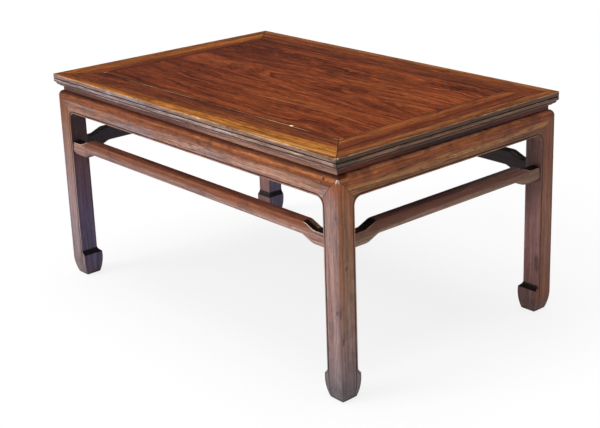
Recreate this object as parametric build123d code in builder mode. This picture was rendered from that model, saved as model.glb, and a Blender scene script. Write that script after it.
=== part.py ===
"""Kang table: a low waisted table with humpback stretchers and hoof feet.

Millimetres, +Z up. The origin is on the floor under the middle of the table,
X runs along the long side and +Y points to the back.

Every piece is joined as a cabinetmaker joins it: the frame members are mitred,
tenoned and grooved for a floating panel, the battens are dovetailed under the
panel, the waist is tongued between frame and aprons, the aprons are mitred to
the legs and hung on dovetail keys, and the stretchers are tenoned into the legs.
"""

import math
import os

from build123d import *

os.makedirs("parts", exist_ok=True)

# ---------------------------------------------------------------- driving sizes
table_length = 840.0  # along X
table_width = 556.0  # along Y
table_height = 428.0

fit_gap = 0.1  # play on each side of a tenon, tongue or dovetail
end_gap = 0.5  # play at the end of a tenon or tongue

# Table top: frame members and their edge moulding
rail_width = 76.0
rail_thickness = 24.0
top_corner_radius = 6.0
rim_radius = 1.5
band_height = 8.8  # slanting band under the rim
band_slant = 1.7
bead_height = 8.8  # round bead under the band
bead_crown_setback = 1.2
bead_foot_setback = 4.6
lip_setback = 10.0  # foot of the small round under the bead
lip_height = 1.5
edge_quirk_radius = 0.7
corner_tenon_width = 34.0
corner_tenon_thickness = 8.0
corner_tenon_edge = 20.0  # from the outer edge of the long rail to its tenon
corner_tenon_cover = 16.0  # wood left outside the end of the blind tenon
corner_tenon_rise = 6.0  # underside of the frame to the tenon

# Floating panel and the battens under it
panel_thickness = 12.0
panel_gap = 0.3  # open joint between panel and frame
panel_edge_bevel = 0.5
panel_tongue_drop = 5.0  # table top to the tongue
panel_tongue_thickness = 5.0
panel_tongue_length = 8.0
batten_spacing = 280.0
batten_width = 30.0
batten_tenon_width = 20.0
batten_tenon_height = 7.0
batten_tenon_length = 12.0
dovetail_height = 4.0
dovetail_root = 14.0
dovetail_flare = 2.0  # how far each side leans out

# Waist
waist_height = 9.5
waist_setback = 9.0  # behind the outer faces of the legs
waist_tongue_thickness = 3.0
waist_tongue_height = 3.0
waist_tongue_offset = 2.0  # from the waist's face

# Aprons
apron_height = 41.0
apron_thickness = 16.0
shoulder_height = 16.0  # rounded upper part of the apron
shoulder_setback = 8.5
opening_corner_radius = 15.0  # between apron and leg
bead_width = 3.4  # plain bead along the opening
bead_quirk_radius = 0.75
bead_quirk_sink = 0.5  # quirk centre behind the outer face
key_width = 7.0  # dovetail key on the leg that carries the apron
key_flare = 1.0
key_depth = 5.0
key_rise = 6.0  # bottom of the apron to the foot of the key

# Legs
leg_side = 36.5
leg_inset = 6.0  # from the edge of the top to the leg
face_belly = 0.6  # the outer faces stand this proud of their edges
leg_arris_radius = 1.2
hoof_height = 38.0  # where the outer faces start to curl in
hoof_curl_radius = 100.0
toe_shelf = 53.0  # where the sloping top of the toe would meet the inner face
toe_cove_radius = 9.7
toe_reach = 7.2  # how far the toe stands out of the inner face
toe_tip_radius = 1.0
toe_belly_height = 25.0
toe_belly_reach = 6.8
toe_heel_reach = 1.5  # at the floor
foot_chamfer = 1.5
leg_tenon_long = 12.0
leg_tenon_short = 5.0
leg_tenon_width = 9.0
leg_tenon_thickness = 8.0
leg_tenon_edge = 1.0  # from the outer faces of the post to its tenons
leg_tenon_spacing = 2.0

# Humpback stretchers
stretcher_setback = 2.3  # behind the outer faces of the legs
stretcher_depth = 21.0
stretcher_height = 28.0
stretcher_top = 300.5  # flat raised part
stretcher_drop = 10.0  # from the raised part to the ends
stretcher_end = 27.0  # length of the low part at each leg
stretcher_bend = 24.0  # length of the slope
underside_shift = 8.0  # the underside bends this much nearer the middle
stretcher_round = 14.0  # lower outer edge
stretcher_arris_setback = 1.2
stretcher_arris_radius = 0.8
stretcher_inner_round = 3.0
bend_radius = 22.0
stretcher_tenon_height = 14.0
stretcher_tenon_thickness = 9.0
stretcher_tenon_length = 12.0
stretcher_tenon_offset = 7.0  # from the stretcher's outer face

# ---------------------------------------------------------------- derived sizes
edge_x = table_length / 2
edge_y = table_width / 2
leg_x = edge_x - leg_inset  # outer faces of the legs
leg_y = edge_y - leg_inset
opening_x = leg_x - leg_side  # inner faces of the legs
opening_y = leg_y - leg_side
core_x = leg_x - apron_thickness  # outer faces of the post behind the aprons
core_y = leg_y - apron_thickness
panel_x = edge_x - rail_width
panel_y = edge_y - rail_width

frame_bottom = table_height - rail_thickness
apron_top = frame_bottom - waist_height
apron_bottom = apron_top - apron_height
panel_bottom = table_height - panel_thickness
tongue_bottom = table_height - panel_tongue_drop - panel_tongue_thickness
mitre_slope = apron_height / leg_side

# Elevation planes of the front and left side: x along the side, y up, z outwards
front_edge = Plane(origin=(0, -edge_y, 0), x_dir=(1, 0, 0), z_dir=(0, -1, 0))
left_edge = Plane(origin=(-edge_x, 0, 0), x_dir=(0, -1, 0), z_dir=(-1, 0, 0))
front_face = front_edge.offset(-leg_inset)
left_face = left_edge.offset(-leg_inset)


def across(side, start, height):
    """Plane across a side: x inwards from its face, y up from the height, z along it."""
    return Plane(
        origin=side.origin + side.x_dir * start + Vector(0, 0, height),
        x_dir=-side.z_dir,
        z_dir=side.x_dir,
    )


def above(side, height, along=0):
    """Plan plane of a side at a height: x along the side, y inwards from its face."""
    return Plane(
        origin=side.origin + side.x_dir * along + Vector(0, 0, height),
        x_dir=side.x_dir,
        z_dir=(0, 0, 1),
    )


def belly_at(distance, half_width):
    """Setback of a bellied face at a distance from its crown."""
    return face_belly * (distance / half_width) ** 2


# ------------------------------------------------------------- frame of the top
# Cross-section of a frame member: x inwards from its outer edge, y up from its underside.
band_foot = rail_thickness - band_height
bead_foot = band_foot - bead_height
with BuildSketch() as frame_section:
    with BuildLine():
        bead = ThreePointArc(
            (band_slant, band_foot),
            (bead_crown_setback, (band_foot + bead_foot) / 2),
            (bead_foot_setback, bead_foot),
        )
        lip = EllipticalCenterArc(
            (lip_setback, bead_foot),
            lip_setback - bead_foot_setback,
            bead_foot - lip_height,
            start_angle=180,
        )
        rim = CenterArc((rim_radius, rail_thickness - rim_radius), rim_radius, 90, 90)
        Polyline(
            lip @ 1,
            (lip_setback, 0),
            (rail_width, 0),
            (rail_width, rail_thickness),
            rim @ 0,
        )
        Line(rim @ 1, bead @ 0)
    make_face()
    # The two quirks that set off the bead
    with Locations((band_slant, band_foot), (bead_foot_setback, bead_foot)):
        Circle(edge_quirk_radius, mode=Mode.SUBTRACT)
    # Groove for the panel's tongue
    with Locations((rail_width, rail_thickness - panel_tongue_drop + fit_gap)):
        Rectangle(
            panel_tongue_length + end_gap,
            panel_tongue_thickness + 2 * fit_gap,
            align=(Align.MAX, Align.MAX),
            mode=Mode.SUBTRACT,
        )
    # Groove for the waist's tongue
    with Locations((leg_inset + waist_setback + waist_tongue_offset - fit_gap, 0)):
        Rectangle(
            waist_tongue_thickness + 2 * fit_gap,
            waist_tongue_height + end_gap,
            align=(Align.MIN, Align.MIN),
            mode=Mode.SUBTRACT,
        )


def frame_member(side, half_length):
    """A mitred frame member, without its corner joints."""
    with BuildPart() as member:
        with BuildSketch(across(side, -half_length, frame_bottom)):
            add(frame_section.sketch)
        extrude(amount=2 * half_length)
        with BuildSketch(above(side, frame_bottom)):
            with BuildLine():
                Polyline(
                    (-half_length, 0),
                    (half_length, 0),
                    (half_length - rail_width, rail_width),
                    (rail_width - half_length, rail_width),
                    close=True,
                )
            make_face()
        extrude(amount=rail_thickness, mode=Mode.INTERSECT)
        # The outer corners of the finished top are slightly rounded
        with BuildSketch(Plane.XY.offset(frame_bottom)):
            RectangleRounded(table_length, table_width, top_corner_radius)
        extrude(amount=rail_thickness, mode=Mode.INTERSECT)
    return member


def corner_tenons(gap):
    """The tenons that leave both ends of the long front rail, grown by a gap."""
    with BuildPart() as tenons:
        with BuildSketch(above(front_edge, frame_bottom + corner_tenon_rise - gap)):
            with Locations((0, corner_tenon_edge - gap)):
                Rectangle(
                    table_length - 2 * corner_tenon_cover + 2 * gap,
                    corner_tenon_width + 2 * gap,
                    align=(Align.CENTER, Align.MIN),
                )
        extrude(amount=corner_tenon_thickness + 2 * gap)
    return tenons


def leg_tenons(gap):
    """The long and short tenon on top of the front left leg, grown by a gap."""
    near = apron_thickness + leg_tenon_edge - gap
    far = near + leg_tenon_thickness + leg_tenon_spacing
    width = leg_tenon_width + 2 * gap
    thickness = leg_tenon_thickness + 2 * gap
    with BuildPart() as tenons:
        with BuildSketch(Plane.XY.offset(frame_bottom)):
            with Locations((far - leg_x, near - leg_y)):
                Rectangle(width, thickness, align=(Align.MIN, Align.MIN))
        extrude(amount=leg_tenon_long + gap)
        with BuildSketch(Plane.XY.offset(frame_bottom)):
            with Locations((near - leg_x, far - leg_y)):
                Rectangle(thickness, width, align=(Align.MIN, Align.MIN))
        extrude(amount=leg_tenon_short + gap)
    return tenons


def batten_bar(width, height, length, base):
    """Both battens as straight bars along Y, standing on a base height."""
    with BuildPart() as bars:
        with BuildSketch(Plane.XY.offset(base)):
            with GridLocations(batten_spacing, 0, 2, 1):
                Rectangle(width, length)
        extrude(amount=height)
    return bars


batten_tenon_base = frame_bottom + (panel_bottom - frame_bottom - batten_tenon_height) / 2
leg_mortises = leg_tenons(fit_gap)
batten_mortises = batten_bar(
    batten_tenon_width + 2 * fit_gap,
    batten_tenon_height + 2 * fit_gap,
    2 * (panel_y + batten_tenon_length + end_gap),
    batten_tenon_base - fit_gap,
)

with BuildPart() as frame_rail_front:
    add(frame_member(front_edge, edge_x).part)
    add(corner_tenons(0).part)
    add(leg_mortises.part, mode=Mode.SUBTRACT)
    mirror(leg_mortises.part, about=Plane.YZ, mode=Mode.SUBTRACT)
    add(batten_mortises.part, mode=Mode.SUBTRACT)

corner_mortises = corner_tenons(fit_gap)
with BuildPart() as frame_end_left:
    add(frame_member(left_edge, edge_y).part)
    add(corner_mortises.part, mode=Mode.SUBTRACT)
    mirror(corner_mortises.part, about=Plane.XZ, mode=Mode.SUBTRACT)
    add(leg_mortises.part, mode=Mode.SUBTRACT)
    mirror(leg_mortises.part, about=Plane.XZ, mode=Mode.SUBTRACT)

with BuildPart() as frame_rail_back:
    mirror(frame_rail_front.part, about=Plane.XZ)

with BuildPart() as frame_end_right:
    mirror(frame_end_left.part, about=Plane.YZ)

# --------------------------------------------------------------- floating panel


def dovetail_bars(gap, length):
    """The dovetails along both battens, grown by a gap."""
    root = dovetail_root / 2 + gap
    with BuildPart() as bars:
        for centre in (-batten_spacing / 2, batten_spacing / 2):
            with BuildSketch(Plane.XZ.offset(-length / 2)):
                with BuildLine():
                    Polyline(
                        (centre - root, panel_bottom),
                        (centre + root, panel_bottom),
                        (centre + root + dovetail_flare, panel_bottom + dovetail_height + gap),
                        (centre - root - dovetail_flare, panel_bottom + dovetail_height + gap),
                        close=True,
                    )
                make_face()
            extrude(amount=length)
    return bars


with BuildPart() as top_panel:
    with BuildSketch(Plane.XY.offset(panel_bottom)):
        Rectangle(2 * (panel_x - panel_gap), 2 * (panel_y - panel_gap))
    extrude(amount=panel_thickness)
    chamfer(top_panel.faces().sort_by(Axis.Z)[-1].edges(), panel_edge_bevel)
    with BuildSketch(Plane.XY.offset(tongue_bottom)):
        Rectangle(2 * (panel_x + panel_tongue_length), 2 * (panel_y + panel_tongue_length))
    extrude(amount=panel_tongue_thickness)
    add(dovetail_bars(fit_gap, table_width).part, mode=Mode.SUBTRACT)

with BuildPart() as battens:
    add(batten_bar(batten_width, panel_bottom - frame_bottom, 2 * panel_y, frame_bottom).part)
    add(dovetail_bars(0, 2 * (panel_y - panel_gap)).part)
    add(
        batten_bar(
            batten_tenon_width,
            batten_tenon_height,
            2 * (panel_y + batten_tenon_length),
            batten_tenon_base,
        ).part
    )

with BuildPart() as batten_left:
    add(battens.part)
    split(bisect_by=Plane.YZ, keep=Keep.BOTTOM)

with BuildPart() as batten_right:
    mirror(batten_left.part, about=Plane.YZ)

# ------------------------------------------------------------------------ waist


def waist_strip(side, half_span):
    """A waist strip between frame and apron, mitred in plan, with a tongue above and below."""
    back = apron_thickness
    with BuildPart() as strip:
        with BuildSketch(across(side, -half_span, apron_top)):
            with Locations((waist_setback, 0)):
                Rectangle(back - waist_setback, waist_height, align=(Align.MIN, Align.MIN))
            with Locations((waist_setback + waist_tongue_offset, waist_height / 2)):
                Rectangle(
                    waist_tongue_thickness,
                    waist_height + 2 * waist_tongue_height,
                    align=(Align.MIN, Align.CENTER),
                )
        extrude(amount=2 * half_span)
        with BuildSketch(above(side, apron_top - waist_tongue_height)):
            with BuildLine():
                Polyline(
                    (-half_span, 0),
                    (half_span, 0),
                    (half_span - back, back),
                    (back - half_span, back),
                    close=True,
                )
            make_face()
        extrude(amount=waist_height + 2 * waist_tongue_height, mode=Mode.INTERSECT)
    return strip


waist_front = waist_strip(front_face, leg_x)
waist_left = waist_strip(left_face, leg_y)

with BuildPart() as waist_back:
    mirror(waist_front.part, about=Plane.XZ)

with BuildPart() as waist_right:
    mirror(waist_left.part, about=Plane.YZ)

# ----------------------------------------------------------------------- aprons
# Cross-section of an apron: x inwards from the legs' outer face, y up from its lower edge.
crown_height = apron_height - shoulder_height
with BuildSketch() as apron_section:
    with BuildLine():
        shoulder = EllipticalCenterArc(
            (shoulder_setback, crown_height), shoulder_setback, shoulder_height, start_angle=90
        )
        face = TangentArc(
            shoulder @ 1,
            (belly_at(crown_height + opening_corner_radius, crown_height), -opening_corner_radius),
            tangent=(0, -1),
        )
        Polyline(
            face @ 1,
            (apron_thickness, -opening_corner_radius),
            (apron_thickness, apron_height),
            shoulder @ 0,
        )
    make_face()
    # Groove for the waist's tongue
    with Locations((waist_setback + waist_tongue_offset - fit_gap, apron_height)):
        Rectangle(
            waist_tongue_thickness + 2 * fit_gap,
            waist_tongue_height + end_gap,
            align=(Align.MIN, Align.MAX),
            mode=Mode.SUBTRACT,
        )


def apron_space(side, half_span):
    """The room an apron takes: mitred in plan with its neighbours, in elevation with the legs."""
    foot_level = apron_bottom - opening_corner_radius
    foot_run = (apron_top - foot_level) / mitre_slope
    with BuildPart() as space:
        with BuildSketch(side):
            with BuildLine():
                Polyline(
                    (-half_span, apron_top),
                    (half_span, apron_top),
                    (half_span - foot_run, foot_level),
                    (foot_run - half_span, foot_level),
                    close=True,
                )
            make_face()
        extrude(amount=-apron_thickness)
        with BuildSketch(above(side, foot_level)):
            with BuildLine():
                Polyline(
                    (-half_span, 0),
                    (half_span, 0),
                    (half_span - apron_thickness, apron_thickness),
                    (apron_thickness - half_span, apron_thickness),
                    close=True,
                )
            make_face()
        extrude(amount=apron_top - foot_level, mode=Mode.INTERSECT)
    return space


def opening_prism(side, half_opening):
    """The opening under an apron: straight sides and rounded upper corners."""
    with BuildPart() as prism:
        with BuildSketch(side) as opening:
            with Locations((0, apron_bottom)):
                Rectangle(2 * half_opening, apron_bottom, align=(Align.CENTER, Align.MAX))
            fillet(opening.vertices().group_by(Axis.Y)[-1], opening_corner_radius)
        extrude(amount=-apron_thickness)
    return prism


def bead_quirk(side, half_opening):
    """The quirk behind the bead: up one leg, along the apron, down the other, out to both toes."""
    run = half_opening + bead_width
    level = apron_bottom + bead_width
    turn = opening_corner_radius + bead_width
    shelf = toe_shelf - bead_width * math.tan(math.radians(22.5))
    shelf_turn = toe_cove_radius + bead_width
    with BuildPart() as quirk:
        with BuildLine(side.offset(-bead_quirk_sink)) as path:
            FilletPolyline(
                (run - shelf, 0),
                (run, shelf),
                (run, level),
                (-run, level),
                (-run, shelf),
                (shelf - run, 0),
                radius=[shelf_turn, turn, turn, shelf_turn],
            )
        with BuildSketch(Plane(origin=path.line @ 0, z_dir=path.line % 0)):
            Circle(bead_quirk_radius)
        sweep()
    return quirk


def key_dovetail(side, half_span, end, top, gap):
    """The dovetail key at one end of an apron, on the post of the leg, grown by a gap."""
    middle = end * (half_span - (apron_thickness + leg_side) / 2)
    root = key_width / 2 + gap
    foot = apron_bottom + key_rise - gap
    with BuildPart() as key:
        with BuildSketch(above(side, foot, middle)):
            with BuildLine():
                Polyline(
                    (-root, apron_thickness),
                    (root, apron_thickness),
                    (root + key_flare, apron_thickness - key_depth - gap),
                    (-root - key_flare, apron_thickness - key_depth - gap),
                    close=True,
                )
            make_face()
        extrude(amount=top - foot)
    return key


key_top = apron_top - waist_tongue_height - 2 * end_gap


def apron(side, half_span, half_opening):
    """An apron: moulded face, mitred ends, rounded lower corners, beaded lower edge."""
    with BuildPart() as piece:
        with BuildSketch(across(side, -half_span, apron_bottom)):
            add(apron_section.sketch)
        extrude(amount=2 * half_span)
        add(apron_space(side, half_span).part, mode=Mode.INTERSECT)
        add(opening_prism(side, half_opening).part, mode=Mode.SUBTRACT)
        add(bead_quirk(side, half_opening).part, mode=Mode.SUBTRACT)
        for end in (-1, 1):
            add(key_dovetail(side, half_span, end, apron_top, fit_gap).part, mode=Mode.SUBTRACT)
    return piece


apron_front = apron(front_face, leg_x, opening_x)
apron_left = apron(left_face, leg_y, opening_y)

with BuildPart() as apron_back:
    mirror(apron_front.part, about=Plane.XZ)

with BuildPart() as apron_right:
    mirror(apron_left.part, about=Plane.YZ)

# ------------------------------------------------------------------ stretchers


def hump_line(half_opening, high, low, shift):
    """Points of a humpback line: low at both legs, raised between them."""
    low_end = half_opening - stretcher_end - shift
    high_end = low_end - stretcher_bend
    return (
        (-half_opening, low),
        (-low_end, low),
        (-high_end, high),
        (high_end, high),
        (low_end, low),
        (half_opening, low),
    )


# Upper half of the section, hung from the top line: flat top, bellied outer face
with BuildSketch() as stretcher_upper:
    with BuildLine():
        belly = TangentArc(
            (0, stretcher_round - stretcher_height), (stretcher_arris_setback, 0), tangent=(0, 1)
        )
        Polyline(
            belly @ 1,
            (stretcher_depth, 0),
            (stretcher_depth, -2 * stretcher_height),
            (0, -2 * stretcher_height),
            belly @ 0,
        )
    make_face()
    fillet(stretcher_upper.vertices().group_by(Axis.Y)[-1], stretcher_arris_radius)

# Lower half of the section, standing on the underside line: rounded lower edges
with BuildSketch() as stretcher_lower:
    Rectangle(stretcher_depth, 2 * stretcher_height, align=(Align.MIN, Align.MIN))
    foot_corners = stretcher_lower.vertices().group_by(Axis.Y)[0].sort_by(Axis.X)
    fillet(foot_corners[0], stretcher_round)
    foot_corners = stretcher_lower.vertices().group_by(Axis.Y)[0].sort_by(Axis.X)
    fillet(foot_corners[-1], stretcher_inner_round)


def swept_along(side, start, section, line):
    """A section carried along a humpback line without turning."""
    with BuildPart() as swept:
        with BuildLine(side) as path:
            FilletPolyline(*line, radius=bend_radius)
        with BuildSketch(across(side, start, line[0][1])):
            add(section.sketch)
        sweep(path=path.line, normal=side.x_dir)
    return swept


def stretcher_tenon(side, half_opening, end, gap):
    """The stub tenon at one end of a stretcher, grown by a gap."""
    middle = stretcher_top - stretcher_drop - stretcher_height / 2
    length = stretcher_tenon_length + (end_gap if gap else 0)
    with BuildPart() as tenon:
        with BuildSketch(across(side, end * half_opening, middle)):
            with Locations((stretcher_setback + stretcher_tenon_offset - gap, 0)):
                Rectangle(
                    stretcher_tenon_thickness + 2 * gap,
                    stretcher_tenon_height + 2 * gap,
                    align=(Align.MIN, Align.CENTER),
                )
        extrude(amount=end * length)
    return tenon


def stretcher(side, half_opening):
    """A humpback stretcher with a tenon at each end."""
    face_plane = side.offset(-stretcher_setback)
    high = stretcher_top
    low = stretcher_top - stretcher_drop
    upper = swept_along(
        face_plane,
        -half_opening,
        stretcher_upper,
        hump_line(half_opening, high, low, 0),
    )
    lower = swept_along(
        face_plane,
        -half_opening,
        stretcher_lower,
        hump_line(half_opening, high - stretcher_height, low - stretcher_height, underside_shift),
    )
    with BuildPart() as piece:
        add(upper.part)
        add(lower.part, mode=Mode.INTERSECT)
        for end in (-1, 1):
            add(stretcher_tenon(side, half_opening, end, 0).part)
    return piece


stretcher_front = stretcher(front_face, opening_x)
stretcher_left = stretcher(left_face, opening_y)

with BuildPart() as stretcher_back:
    mirror(stretcher_front.part, about=Plane.XZ)

with BuildPart() as stretcher_right:
    mirror(stretcher_left.part, about=Plane.YZ)

# ------------------------------------------------------------------------- legs
blank_size = leg_side + 2 * max(toe_reach, opening_corner_radius)


def bellied_blank(side, leg_middle):
    """A blank whose outer face is bellied, upright above the hoof, and curls in to the floor."""
    corner_setback = belly_at(blank_size / 2, leg_side / 2)
    curl = math.degrees(math.asin(hoof_height / hoof_curl_radius))
    with BuildPart() as blank:
        with BuildLine(across(side, leg_middle, 0)) as path:
            Line((0, apron_top), (0, hoof_height))
            CenterArc((hoof_curl_radius, hoof_height), hoof_curl_radius, 180, curl)
        with BuildSketch(above(side, apron_top, leg_middle)):
            with BuildLine():
                face = ThreePointArc(
                    (-blank_size / 2, corner_setback), (0, 0), (blank_size / 2, corner_setback)
                )
                Polyline(
                    face @ 1,
                    (blank_size / 2, blank_size),
                    (-blank_size / 2, blank_size),
                    face @ 0,
                )
            make_face()
        sweep(path=path.line, normal=(0, 0, 1))
    return blank


def toed_post(side, half_opening, end):
    """The outline of a leg seen from one side, with the toe of its hoof, as thick as the blank."""
    with BuildPart() as post:
        with BuildSketch(side) as outline:
            with BuildLine():
                Polyline(
                    (end * (half_opening - toe_heel_reach), 0),
                    (end * (half_opening + blank_size), 0),
                    (end * (half_opening + blank_size), apron_top),
                    (end * half_opening, apron_top),
                    (end * half_opening, toe_shelf),
                    (end * (half_opening - toe_reach), toe_shelf - toe_reach),
                )
                ThreePointArc(
                    (end * (half_opening - toe_reach), toe_shelf - toe_reach),
                    (end * (half_opening - toe_belly_reach), toe_belly_height),
                    (end * (half_opening - toe_heel_reach), 0),
                )
            make_face()
            cove = outline.vertices().sort_by_distance((end * half_opening, toe_shelf))[0]
            fillet(cove, toe_cove_radius)
            tip_point = (end * (half_opening - toe_reach), toe_shelf - toe_reach)
            fillet(outline.vertices().sort_by_distance(tip_point)[0], toe_tip_radius)
        extrude(amount=-blank_size)
    return post


def leg_flare(side, half_opening, end):
    """The part of a leg that flares into the rounded corner of the opening."""
    with BuildPart() as flare:
        with BuildSketch(side):
            with Locations((end * half_opening, apron_bottom)):
                Rectangle(
                    2 * opening_corner_radius,
                    opening_corner_radius,
                    align=(Align.CENTER, Align.MAX),
                )
        extrude(amount=-apron_thickness)
        add(opening_prism(side, half_opening).part, mode=Mode.SUBTRACT)
    return flare


def shoulder_waste(side, half_span):
    """What the aprons' rounded shoulder takes off the tops of the legs, along a whole side."""
    with BuildPart() as waste:
        with BuildSketch(across(side, -half_span, apron_bottom + crown_height)):
            with BuildLine():
                arc = EllipticalCenterArc(
                    (shoulder_setback, 0), shoulder_setback, shoulder_height, start_angle=90
                )
                Polyline(
                    arc @ 0,
                    (shoulder_setback, 2 * shoulder_height),
                    (-shoulder_setback, 2 * shoulder_height),
                    (-shoulder_setback, 0),
                    arc @ 1,
                )
            make_face()
        extrude(amount=2 * half_span)
    return waste


def on_outer_arris(edge):
    """Tells whether an edge runs down the outer corner of the front left leg."""
    middle = edge @ 0.5
    off_diagonal = abs((middle.X + leg_x) - (middle.Y + leg_y))
    return off_diagonal < 0.01 and middle.X < -core_x


with BuildPart() as leg_front_left:
    add(toed_post(front_face, opening_x, -1).part)
    add(toed_post(left_face, opening_y, 1).part, mode=Mode.INTERSECT)
    add(leg_flare(front_face, opening_x, -1).part)
    add(leg_flare(left_face, opening_y, 1).part)
    add(bellied_blank(front_face, leg_side / 2 - leg_x).part, mode=Mode.INTERSECT)
    add(bellied_blank(left_face, leg_y - leg_side / 2).part, mode=Mode.INTERSECT)
    chamfer(leg_front_left.faces().sort_by(Axis.Z)[0].edges(), foot_chamfer)
    fillet(leg_front_left.edges().filter_by(on_outer_arris), leg_arris_radius)
    for side, half_span, half_opening, end in (
        (front_face, leg_x, opening_x, -1),
        (left_face, leg_y, opening_y, 1),
    ):
        add(shoulder_waste(side, half_span).part, mode=Mode.SUBTRACT)
        add(apron_space(side, half_span).part, mode=Mode.SUBTRACT)
        add(bead_quirk(side, half_opening).part, mode=Mode.SUBTRACT)
        add(stretcher_tenon(side, half_opening, end, fit_gap).part, mode=Mode.SUBTRACT)
        add(key_dovetail(side, half_span, end, key_top, 0).part)
    # The post rises behind aprons and waist to the frame and is tenoned into it
    with BuildSketch(Plane.XY.offset(apron_bottom)):
        with Locations((-opening_x, -opening_y)):
            Rectangle(core_x - opening_x, core_y - opening_y, align=(Align.MAX, Align.MAX))
    extrude(amount=frame_bottom - apron_bottom)
    add(leg_tenons(0).part)

with BuildPart() as leg_front_right:
    mirror(leg_front_left.part, about=Plane.YZ)

with BuildPart() as leg_back_left:
    mirror(leg_front_left.part, about=Plane.XZ)

with BuildPart() as leg_back_right:
    mirror(leg_back_left.part, about=Plane.YZ)

# ----------------------------------------------------------------------- export
pieces = {
    "frame_rail_front": frame_rail_front,
    "frame_rail_back": frame_rail_back,
    "frame_end_left": frame_end_left,
    "frame_end_right": frame_end_right,
    "top_panel": top_panel,
    "batten_left": batten_left,
    "batten_right": batten_right,
    "waist_front": waist_front,
    "waist_back": waist_back,
    "waist_left": waist_left,
    "waist_right": waist_right,
    "apron_front": apron_front,
    "apron_back": apron_back,
    "apron_left": apron_left,
    "apron_right": apron_right,
    "leg_front_left": leg_front_left,
    "leg_front_right": leg_front_right,
    "leg_back_left": leg_back_left,
    "leg_back_right": leg_back_right,
    "stretcher_front": stretcher_front,
    "stretcher_back": stretcher_back,
    "stretcher_left": stretcher_left,
    "stretcher_right": stretcher_right,
}
for name, piece in pieces.items():
    piece.part.label = name
    export_step(piece.part, f"parts/{name}.step")
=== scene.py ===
# %% [markdown]
# # A kang table in old hardwood
#
# The table is a joined frame: four legs, four aprons, a waist, humpback stretchers and a
# mitred top around a floating panel. The joiner's model gives every piece its true shape,
# beads and mouldings included, so nothing is added to the shapes here. This lesson is
# about the wood: how each board is cut from the log, how hands, wax and wet floors have
# coloured it, and how light shows both.

# %% Load the joined table
import math

import bpy
from mathutils import Euler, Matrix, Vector


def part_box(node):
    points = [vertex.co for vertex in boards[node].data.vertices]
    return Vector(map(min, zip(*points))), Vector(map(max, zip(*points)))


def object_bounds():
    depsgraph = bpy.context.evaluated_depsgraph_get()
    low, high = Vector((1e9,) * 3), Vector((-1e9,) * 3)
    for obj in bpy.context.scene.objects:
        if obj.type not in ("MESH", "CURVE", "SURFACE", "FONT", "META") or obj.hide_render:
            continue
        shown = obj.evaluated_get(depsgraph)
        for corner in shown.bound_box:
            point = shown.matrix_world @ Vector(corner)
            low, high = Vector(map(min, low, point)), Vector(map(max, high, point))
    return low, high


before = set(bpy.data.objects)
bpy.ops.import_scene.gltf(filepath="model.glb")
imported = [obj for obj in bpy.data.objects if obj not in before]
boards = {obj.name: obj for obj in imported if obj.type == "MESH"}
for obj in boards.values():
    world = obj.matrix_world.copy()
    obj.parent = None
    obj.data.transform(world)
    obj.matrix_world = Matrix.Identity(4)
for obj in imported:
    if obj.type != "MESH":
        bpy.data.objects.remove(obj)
cad_box = [list(corner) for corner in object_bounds()]
print(len(boards), "boards in the table")

# %% [markdown]
# ## Sizes that the wear refers to
#
# Wear has a place: the front of the top, the corner of a leg, the foot. Those places could
# be typed in, but then they would stay behind if the table changed, so the large sizes are
# read from the boards. Lengths are in metres, and the table stands on z = 0 with its
# middle at x = y = 0.


# %% Sizes of the table
def corners(name):
    """The lowest and the highest corner of a board's box."""
    return [[round(float(size), 4) for size in corner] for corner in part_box(name)]


EDGE_X, EDGE_Y, TOP = (round(size, 4) for size in cad_box[1])
LEG_X, LEG_Y = corners("leg_back_right")[1][:2]
PANEL_X, PANEL_Y = corners("frame_end_right")[0][0], corners("frame_rail_back")[0][1]
APRON_TOP = corners("apron_front")[1][2]
print("top", EDGE_X * 2, "by", EDGE_Y * 2, "at", TOP, "panel", PANEL_X * 2, "by", PANEL_Y * 2)

# %% [markdown]
# ## Shader maths that reads like Python
#
# A material is a web of nodes, and one line of arithmetic can take five of them. They could
# be wired one by one, which hides the idea behind the plumbing. A small class around a
# node's output lets `a * 2 + b` add those nodes by itself, so a mask reads as its formula.


# %% A wire between nodes
class Wire:
    """The output of a node. Arithmetic on it adds Math nodes."""

    def __init__(self, finish, socket):
        self.finish = finish
        self.socket = socket

    def maths(self, operation, *others):
        """One Math node that this wire feeds first."""
        return self.finish.node("ShaderNodeMath", {"operation": operation}, self, *others)

    def at_least(self, other):
        return self.maths("MAXIMUM", other)

    def at_most(self, other):
        return self.maths("MINIMUM", other)

    def __add__(self, other):
        return self.maths("ADD", other)

    def __sub__(self, other):
        return self.maths("SUBTRACT", other)

    def __rsub__(self, other):
        return self.finish.node("ShaderNodeMath", {"operation": "SUBTRACT"}, other, self)

    def __mul__(self, other):
        return self.maths("MULTIPLY", other)

    def __truediv__(self, other):
        return self.maths("DIVIDE", other)

    def __pow__(self, other):
        return self.maths("POWER", other)

    def __neg__(self):
        return 0.0 - self

    def __abs__(self):
        return self.maths("ABSOLUTE")

    __radd__ = __add__
    __rmul__ = __mul__


# %% [markdown]
# ## One method for every other node
#
# A colour ramp, a noise and a shader all want the same three things: a type, some settings
# and something on their sockets. Each could have its own few lines, and a wood of a hundred
# nodes would fill pages. One method takes all three, settings first, because some of them
# change which sockets a node has.


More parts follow.
